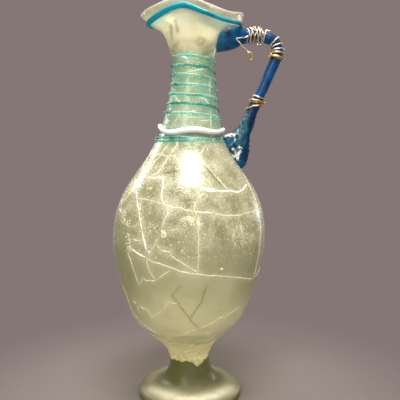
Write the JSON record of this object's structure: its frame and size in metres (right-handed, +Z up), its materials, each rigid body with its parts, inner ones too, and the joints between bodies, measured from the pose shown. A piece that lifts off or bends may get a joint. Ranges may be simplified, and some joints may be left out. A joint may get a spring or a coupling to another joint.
{
  "type": "glass ewer",
  "caption": "Tall clear-glass jug with a pinched spout, spreading foot, coloured glass threads and a blue handle bound with wire.",
  "frame": {"origin": "on the surface that the foot stands on, under the middle of the whole ewer's box", "axes": "+Z up, the handle towards +X, the spout towards -X"},
  "size_m": [0.108, 0.0956, 0.2461],
  "materials": {
    "clear_glass": "weathered yellow-green glass, milky and cracked",
    "foot_glass": "thick greener glass with a dull skin",
    "teal_glass": "glossy dark teal glass",
    "aqua_glass": "glossy pale aqua glass",
    "pale_glass": "opaque white glass, slightly worn",
    "cobalt_glass": "deep cobalt glass, pitted at its lower end",
    "gold_wire": "fine gold-coloured wire, worn"
  },
  "bodies": {
    "root": {"vessel": "clear_glass", "foot": "foot_glass", "rim_thread": "teal_glass", "neck_thread": "aqua_glass", "neck_thread_lower": "aqua_glass", "collar_thread": "pale_glass", "handle": "cobalt_glass", "wire_binding_arch": "gold_wire", "wire_binding_bend": "gold_wire", "wire_binding_middle": "gold_wire"}
  },
  "joints": []
}
